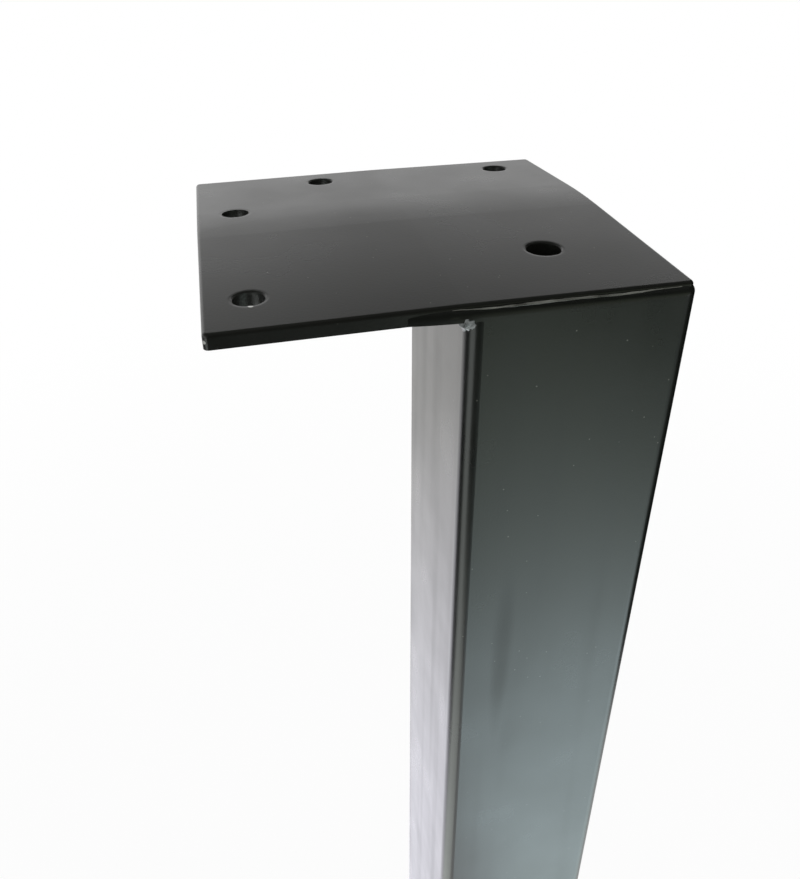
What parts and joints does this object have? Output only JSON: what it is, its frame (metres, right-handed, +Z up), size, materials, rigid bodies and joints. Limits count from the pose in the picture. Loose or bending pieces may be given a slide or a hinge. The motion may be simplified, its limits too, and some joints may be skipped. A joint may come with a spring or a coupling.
{
  "type": "adjustable table leg",
  "caption": "Square steel table leg with an offset square mounting plate welded on top and a screw-in levelling foot in a plastic plug at the bottom.",
  "frame": {"origin": "on the tube's axis at floor level, in the middle of the foot pad's underside", "axes": "+Z up along the tube, +X to the right and -Y to the front: the tube's faces that the plate is flush with"},
  "size_m": [0.121, 0.1227, 0.716],
  "materials": {
    "coated_steel": "satin black powder coat",
    "black_plastic": "moulded, fine matt",
    "zinc_steel": "bright zinc plate",
    "rubber_pad": "matt"
  },
  "bodies": {
    "leg": {"mounting_plate": "coated_steel", "leg_tube": "coated_steel", "edge_weld": "coated_steel", "fillet_weld": "coated_steel", "tube_plug": "black_plastic", "thread_bush": "zinc_steel"},
    "foot": {"foot_base": "black_plastic", "foot_pad": "rubber_pad"},
    "stud": {"foot_stud": "zinc_steel"}
  },
  "joints": [
    {"name": "foot_travel", "type": "slide", "parent": "leg", "child": "foot", "axis": [0, 0, -1], "range_m": [-0.006, 0.015]},
    {"name": "stud_spin", "type": "hinge", "parent": "foot", "child": "stud", "pos_m": [0, 0, 0.014], "axis": [0, 0, -1], "range_deg": [-1530, 3825]}
  ],
  "couplings": [
    {"joint": "stud_spin", "follows": "foot_travel", "rad_per_m": 4188.8}
  ]
}
